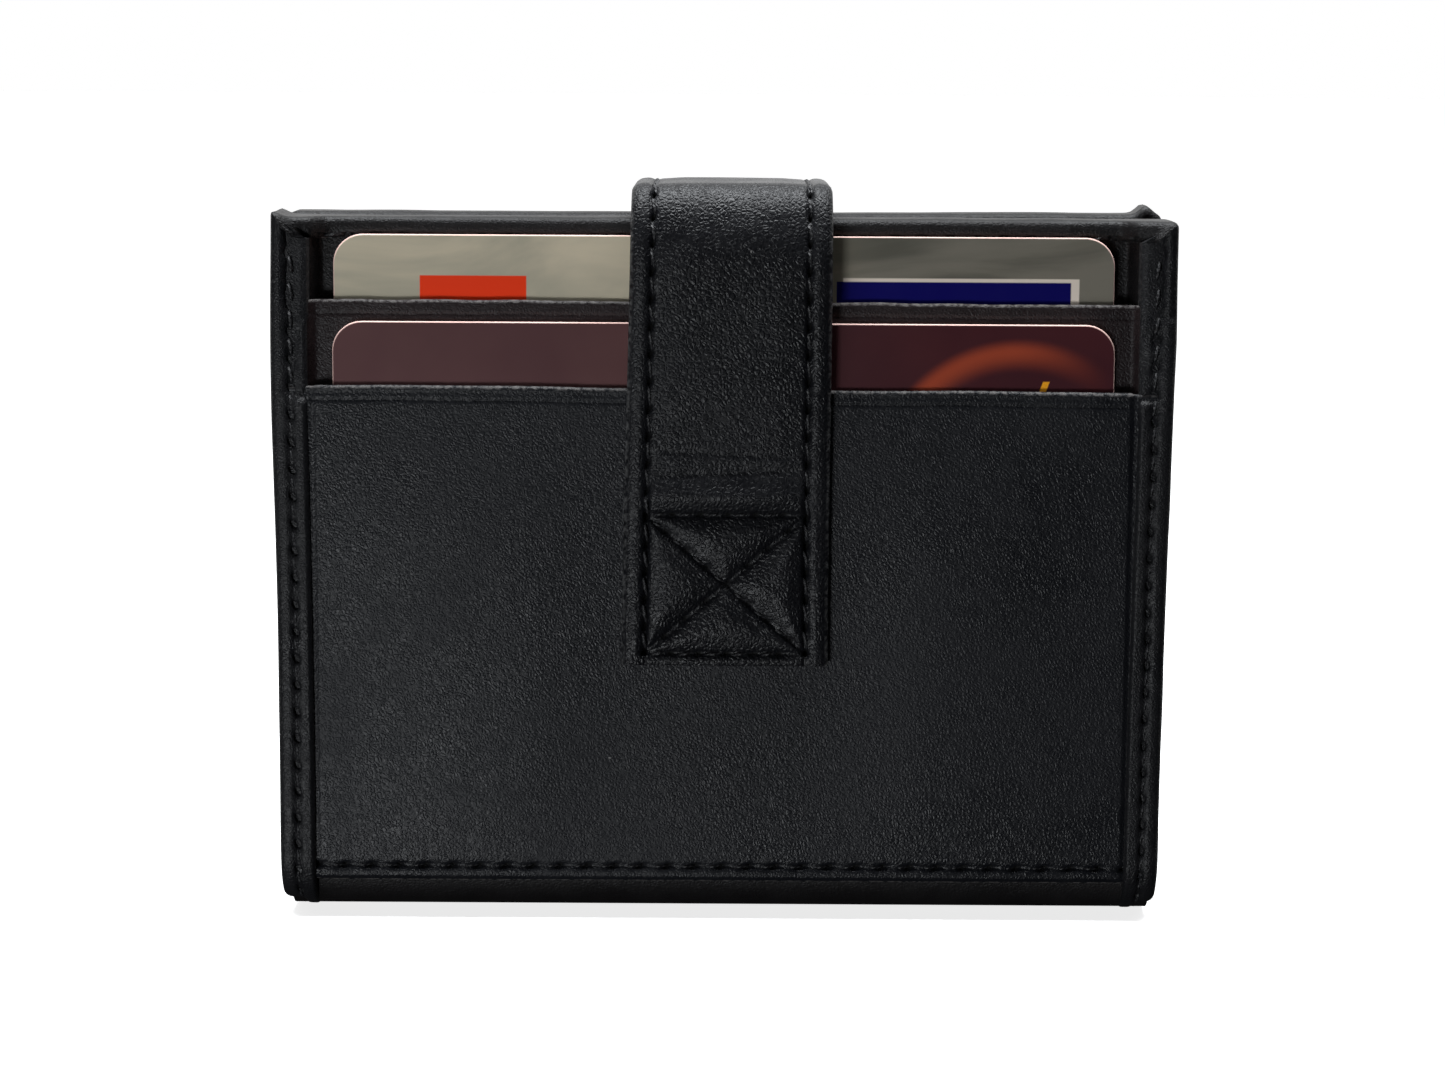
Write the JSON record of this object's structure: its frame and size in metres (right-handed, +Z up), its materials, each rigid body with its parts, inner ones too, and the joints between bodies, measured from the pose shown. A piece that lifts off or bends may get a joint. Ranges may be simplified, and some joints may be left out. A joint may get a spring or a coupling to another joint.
{
  "type": "card holder",
  "caption": "Folding leather card holder standing on its spine, with stitched covers, two outside card pockets holding cards, and a snap strap over the top.",
  "frame": {"origin": "middle of the flat underside of the spine, which is what the card holder stands on", "axes": "+X across the width, to the right as seen from the front; +Y from the front cover to the back cover; +Z up"},
  "size_m": [0.098, 0.0259, 0.0817],
  "materials": {
    "outer_leather": "black fine-grained leather, satin",
    "inner_leather": "black smooth leather, matt",
    "lining_cloth": "black woven lining, matt",
    "board": "brown fibre board, matt",
    "thread": "black bonded thread, slight sheen",
    "snap_metal": "dark nickel plate, polished",
    "card_grey": "printed card, satin laminate",
    "card_maroon": "printed card, satin laminate"
  },
  "bodies": {
    "spine": {"back_fold_leather": "outer_leather", "front_fold_leather": "outer_leather", "spine_leather": "outer_leather", "spine_lining": "lining_cloth"},
    "front_cover": {"box_cross_seam": "thread", "front_binding_left": "outer_leather", "front_binding_right": "outer_leather", "front_cover_leather": "outer_leather", "front_hem_seam": "thread", "front_inner_pocket_lower": "inner_leather", "front_inner_pocket_upper": "inner_leather", "front_lining": "lining_cloth", "front_seam_left": "thread", "front_seam_right": "thread", "front_stiffener": "board", "front_top_hem": "outer_leather", "lower_card_pocket": "outer_leather", "lower_pocket_seam": "thread", "strap_anchor_leather": "outer_leather", "strap_anchor_lining": "lining_cloth", "upper_card_pocket": "outer_leather"},
    "back_cover": {"back_binding_left": "outer_leather", "back_binding_right": "outer_leather", "back_cover_leather": "outer_leather", "back_hem_seam": "thread", "back_inner_pocket_lower": "inner_leather", "back_inner_pocket_upper": "inner_leather", "back_lining": "lining_cloth", "back_seam_left": "thread", "back_seam_right": "thread", "back_stiffener": "board", "back_top_hem": "outer_leather", "snap_rivet": "snap_metal", "snap_stud": "snap_metal"},
    "strap_leg": {"strap_leg_leather": "outer_leather", "strap_leg_lining": "lining_cloth", "strap_leg_seam_left": "thread", "strap_leg_seam_right": "thread"},
    "strap_top": {"strap_front_bend_leather": "outer_leather", "strap_front_bend_lining": "lining_cloth", "strap_top_leather": "outer_leather", "strap_top_lining": "lining_cloth", "strap_top_seam_left": "thread", "strap_top_seam_right": "thread"},
    "strap_tab": {"snap_cap": "snap_metal", "snap_socket": "snap_metal", "strap_rear_bend_leather": "outer_leather", "strap_rear_bend_lining": "lining_cloth", "strap_tab_leather": "outer_leather", "strap_tab_lining": "lining_cloth", "strap_tab_seam": "thread"},
    "card_upper": {"card_upper": "card_grey"},
    "card_lower": {"card_lower": "card_maroon"}
  },
  "joints": [
    {"name": "front_fold", "type": "hinge", "parent": "spine", "child": "front_cover", "pos_m": [0, -0.00761, 0.00149], "axis": [1, 0, 0], "range_deg": [0, 90], "deforming": ["front_fold_leather"]},
    {"name": "back_fold", "type": "hinge", "parent": "spine", "child": "back_cover", "pos_m": [0, 0.00761, 0.00149], "axis": [-1, 0, 0], "range_deg": [0, 90], "deforming": ["back_fold_leather"]},
    {"name": "strap_open", "type": "hinge", "parent": "strap_leg", "child": "strap_top", "pos_m": [0.0007, -0.01028, 0.07986], "axis": [1, 0, 0], "range_deg": [0, 120], "deforming": ["strap_front_bend_leather", "strap_front_bend_lining"]},
    {"name": "strap_swing", "type": "hinge", "parent": "front_cover", "child": "strap_leg", "pos_m": [0.0007, -0.01202, 0.0473], "axis": [1, 0, 0], "range_deg": [0, 24]},
    {"name": "tab_peel", "type": "hinge", "parent": "strap_top", "child": "strap_tab", "pos_m": [0.0007, 0.01046, 0.07986], "axis": [1, 0, 0], "range_deg": [0, 90], "deforming": ["strap_rear_bend_leather", "strap_rear_bend_lining"]},
    {"name": "card_upper_slide", "type": "slide", "parent": "front_cover", "child": "card_upper", "axis": [0, 0, 1], "range_m": [0, 0.03]},
    {"name": "card_lower_slide", "type": "slide", "parent": "front_cover", "child": "card_lower", "axis": [0, 0, 1], "range_m": [0, 0.03]}
  ],
  "couplings": [
    {"joint": "strap_swing", "follows": "strap_open", "ratio": 0.2},
    {"joint": "card_upper_slide", "follows": "strap_open", "m_per_rad": 0.0143},
    {"joint": "card_lower_slide", "follows": "strap_open", "m_per_rad": 0.0143}
  ]
}
